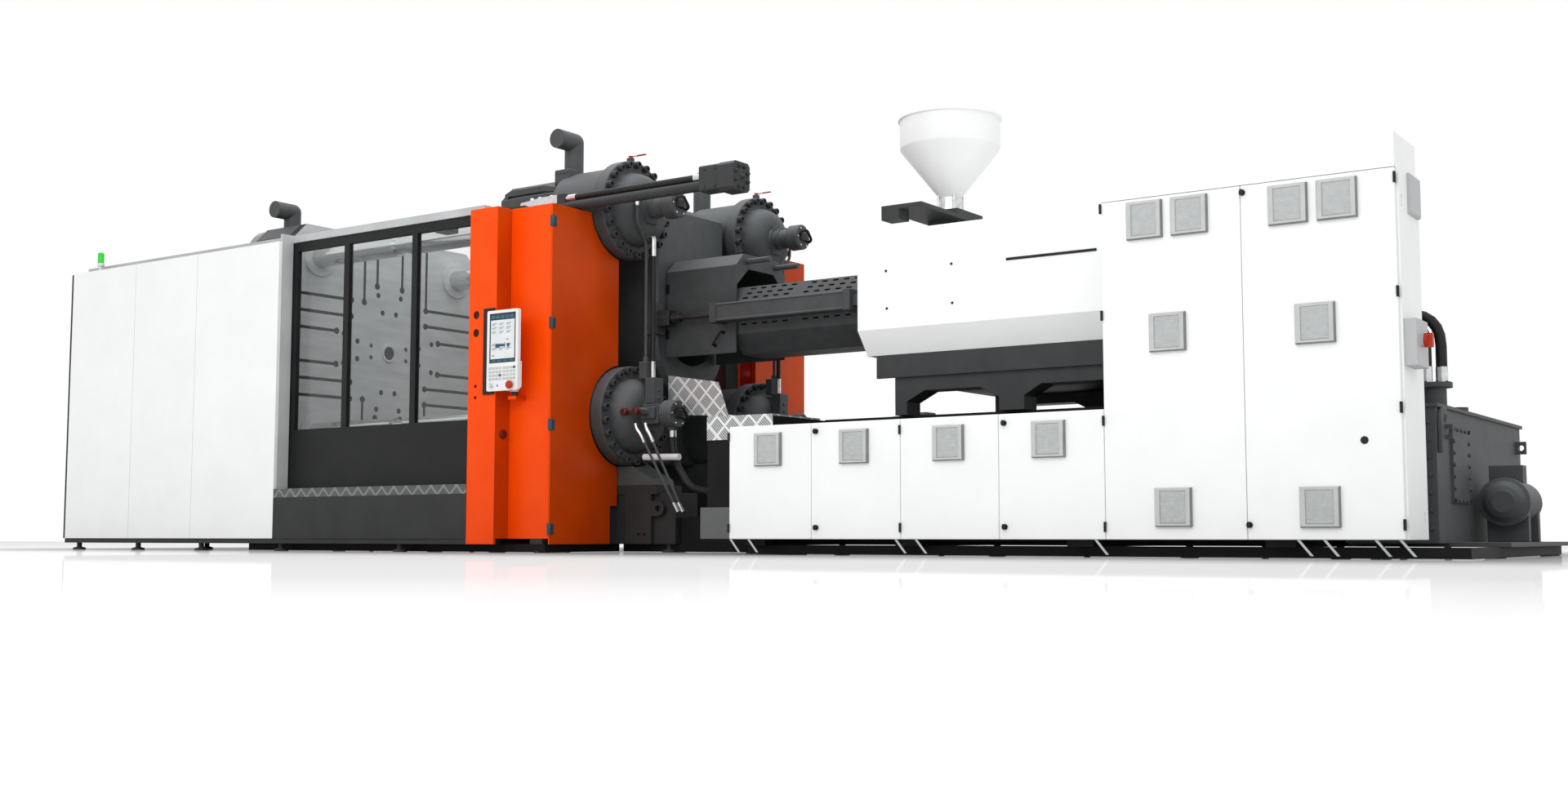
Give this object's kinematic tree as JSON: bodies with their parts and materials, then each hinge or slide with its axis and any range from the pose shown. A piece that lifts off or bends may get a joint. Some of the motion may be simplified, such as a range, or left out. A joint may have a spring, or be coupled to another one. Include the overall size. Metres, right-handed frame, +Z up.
{
  "type": "injection moulding machine",
  "caption": "Large two-platen injection moulding machine with sliding safety doors, hydraulic clamp cylinders, barrel unit, hopper, cabinets and swivelling control panel.",
  "frame": {"origin": "centre of the machine's footprint box, on the floor", "axes": "+X along the machine from the clamp end to the pump end, +Y away from the operator's side, +Z up"},
  "size_m": [12.1, 3.616, 3.282],
  "materials": {
    "cover_white": "satin",
    "column_orange": "gloss",
    "frame_dark": "matte",
    "machined_steel": "brushed",
    "bright_rod": "polished",
    "drive_iron": "matte",
    "chequer_aluminium": "patterned",
    "screw_black": "satin",
    "clear_pane": "clear",
    "hose_rubber": "matte",
    "panel_plastic": "matte",
    "signal_red": "gloss",
    "selector_silver": "satin"
  },
  "bodies": {
    "machine": {"clamp_bed": "frame_dark", "injection_bed": "frame_dark", "levelling_feet": "machined_steel", "clamp_covers": "cover_white", "door_tracks": "machined_steel", "chequer_plates": "chequer_aluminium", "corner_columns": "column_orange", "fixed_platen": "frame_dark", "clamp_cylinders": "frame_dark", "cylinder_covers": "frame_dark", "clamp_screws": "screw_black", "hydraulic_pipes": "machined_steel", "hydraulic_hoses": "hose_rubber", "traverse_cylinders": "machined_steel", "carriage_rods": "bright_rod", "lower_cabinet": "cover_white", "electric_cabinet": "cover_white", "cabinet_hinges": "screw_black", "hydraulic_tank": "frame_dark", "pump_motor": "frame_dark", "signal_lamp": "cover_white"},
    "platen": {"moving_platen": "frame_dark", "traverse_rods": "bright_rod"},
    "ejector": {"ejector_plate": "machined_steel"},
    "nuts_upper": {"lock_nuts_upper": "machined_steel"},
    "nuts_lower": {"lock_nuts_lower": "machined_steel"},
    "ties": {"tie_bars": "bright_rod"},
    "front_door": {"front_door_frame": "frame_dark", "front_door_panes": "clear_pane"},
    "rear_door": {"rear_gate": "frame_dark"},
    "side_door": {"column_door": "column_orange"},
    "panel": {"control_housing": "panel_plastic"},
    "stop_button": {"emergency_stop": "signal_red"},
    "selector": {"mode_selector": "selector_silver"},
    "guard": {"purge_guard": "machined_steel"},
    "carriage": {"injection_carriage": "frame_dark", "hopper_base": "machined_steel", "barrel": "machined_steel", "injection_cover": "cover_white", "barrel_cover": "machined_steel", "carriage_cylinders": "machined_steel"},
    "drive": {"screw_drive": "drive_iron"},
    "screw": {"plasticising_screw": "bright_rod"},
    "feed": {"hopper_slide": "machined_steel", "hopper": "machined_steel"},
    "switch": {"main_switch_handle": "signal_red"},
    "door_1": {"cabinet_door_1": "cover_white"},
    "door_2": {"cabinet_door_2": "cover_white"},
    "door_3": {"cabinet_door_3": "cover_white"},
    "door_4": {"cabinet_door_4": "cover_white"},
    "door_left": {"electric_door_left": "cover_white"},
    "door_right": {"electric_door_right": "cover_white"},
    "knob_1_upper": {"cabinet_knob_1_upper": "screw_black"},
    "knob_1_lower": {"cabinet_knob_1_lower": "screw_black"},
    "knob_2_upper": {"cabinet_knob_2_upper": "screw_black"},
    "knob_2_lower": {"cabinet_knob_2_lower": "screw_black"},
    "knob_e_upper": {"electric_knob_upper": "screw_black"},
    "knob_e_lower": {"electric_knob_lower": "screw_black"},
    "lever_front": {"bleed_lever_front": "signal_red"},
    "lever_rear": {"bleed_lever_rear": "signal_red"}
  },
  "joints": [
    {"name": "platen_slide", "type": "slide", "parent": "machine", "child": "platen", "axis": [1, 0, 0], "range_m": [0, 1.75]},
    {"name": "ejector_slide", "type": "slide", "parent": "platen", "child": "ejector", "axis": [1, 0, 0], "range_m": [0, 0.25]},
    {"name": "upper_nuts_close", "type": "slide", "parent": "platen", "child": "nuts_upper", "axis": [0, 0, -1], "range_m": [0, 0.06]},
    {"name": "lower_nuts_close", "type": "slide", "parent": "platen", "child": "nuts_lower", "axis": [0, 0, 1], "range_m": [0, 0.06]},
    {"name": "tie_bar_stroke", "type": "slide", "parent": "machine", "child": "ties", "axis": [1, 0, 0], "range_m": [0, 0.05]},
    {"name": "front_door_slide", "type": "slide", "parent": "machine", "child": "front_door", "axis": [-1, 0, 0], "range_m": [0, 2.1]},
    {"name": "rear_gate_slide", "type": "slide", "parent": "machine", "child": "rear_door", "axis": [-1, 0, 0], "range_m": [0, 2.1]},
    {"name": "column_door_hinge", "type": "hinge", "parent": "machine", "child": "side_door", "pos_m": [-0.182, -1.629, 1.3], "axis": [0, 0, -1], "range_deg": [0, 110]},
    {"name": "panel_swivel", "type": "hinge", "parent": "machine", "child": "panel", "pos_m": [-0.47, -1.706, 1.15], "axis": [0, 0, 1], "range_deg": [0, 60]},
    {"name": "emergency_stop_press", "type": "slide", "parent": "panel", "child": "stop_button", "axis": [0, 1, 0], "range_m": [0, 0.005]},
    {"name": "selector_turn", "type": "hinge", "parent": "panel", "child": "selector", "pos_m": [-0.6, -1.806, 1.203], "axis": [0, 1, 0], "range_deg": [-45, 45]},
    {"name": "purge_guard_slide", "type": "slide", "parent": "machine", "child": "guard", "axis": [1, 0, 0], "range_m": [0, 0.3]},
    {"name": "carriage_slide", "type": "slide", "parent": "machine", "child": "carriage", "axis": [-1, 0, 0], "range_m": [0, 0.25]},
    {"name": "screw_stroke", "type": "slide", "parent": "carriage", "child": "drive", "axis": [1, 0, 0], "range_m": [0, 0.4]},
    {"name": "screw_turn", "type": "hinge", "parent": "drive", "child": "screw", "pos_m": [2.6, 0, 1.81], "axis": [1, 0, 0], "continuous": true},
    {"name": "hopper_slide_out", "type": "slide", "parent": "carriage", "child": "feed", "axis": [0, -1, 0], "range_m": [0, 0.45]},
    {"name": "main_switch_turn", "type": "hinge", "parent": "machine", "child": "switch", "pos_m": [5.812, -1.625, 1.11], "axis": [1, 0, 0], "range_deg": [0, 90]},
    {"name": "cabinet_door_1_hinge", "type": "hinge", "parent": "machine", "child": "door_1", "pos_m": [1.522, -1.784, 0.46], "axis": [0, 0, -1], "range_deg": [0, 110]},
    {"name": "cabinet_door_2_hinge", "type": "hinge", "parent": "machine", "child": "door_2", "pos_m": [2.808, -1.784, 0.46], "axis": [0, 0, 1], "range_deg": [0, 80]},
    {"name": "cabinet_door_3_hinge", "type": "hinge", "parent": "machine", "child": "door_3", "pos_m": [2.808, -1.784, 0.46], "axis": [0, 0, -1], "range_deg": [0, 80]},
    {"name": "cabinet_door_4_hinge", "type": "hinge", "parent": "machine", "child": "door_4", "pos_m": [4.127, -1.784, 0.46], "axis": [0, 0, 1], "range_deg": [0, 80]},
    {"name": "electric_left_hinge", "type": "hinge", "parent": "machine", "child": "door_left", "pos_m": [4.127, -1.784, 1], "axis": [0, 0, -1], "range_deg": [0, 80]},
    {"name": "electric_right_hinge", "type": "hinge", "parent": "machine", "child": "door_right", "pos_m": [5.727, -1.784, 1], "axis": [0, 0, 1], "range_deg": [0, 110]},
    {"name": "knob_1_upper_turn", "type": "hinge", "parent": "door_2", "child": "knob_1_upper", "pos_m": [2.2, -1.776, 0.772], "axis": [0, 1, 0], "range_deg": [0, 90]},
    {"name": "knob_1_lower_turn", "type": "hinge", "parent": "door_2", "child": "knob_1_lower", "pos_m": [2.2, -1.776, 0.172], "axis": [0, 1, 0], "range_deg": [0, 90]},
    {"name": "knob_2_upper_turn", "type": "hinge", "parent": "door_4", "child": "knob_2_upper", "pos_m": [3.508, -1.776, 0.772], "axis": [0, 1, 0], "range_deg": [0, 90]},
    {"name": "knob_2_lower_turn", "type": "hinge", "parent": "door_4", "child": "knob_2_lower", "pos_m": [3.508, -1.776, 0.172], "axis": [0, 1, 0], "range_deg": [0, 90]},
    {"name": "electric_knob_upper_turn", "type": "hinge", "parent": "door_right", "child": "knob_e_upper", "pos_m": [4.94, -1.776, 1.951], "axis": [0, 1, 0], "range_deg": [0, 90]},
    {"name": "electric_knob_lower_turn", "type": "hinge", "parent": "door_right", "child": "knob_e_lower", "pos_m": [4.94, -1.776, 0.178], "axis": [0, 1, 0], "range_deg": [0, 90]},
    {"name": "bleed_lever_front_turn", "type": "hinge", "parent": "machine", "child": "lever_front", "pos_m": [-0.14, -0.823, 3.017], "axis": [0, 0, 1], "range_deg": [0, 90]},
    {"name": "bleed_lever_rear_turn", "type": "hinge", "parent": "machine", "child": "lever_rear", "pos_m": [-0.14, 0.823, 3.017], "axis": [0, 0, -1], "range_deg": [0, 90]}
  ],
  "couplings": [
    {"joint": "lower_nuts_close", "follows": "upper_nuts_close", "ratio": 1}
  ]
}
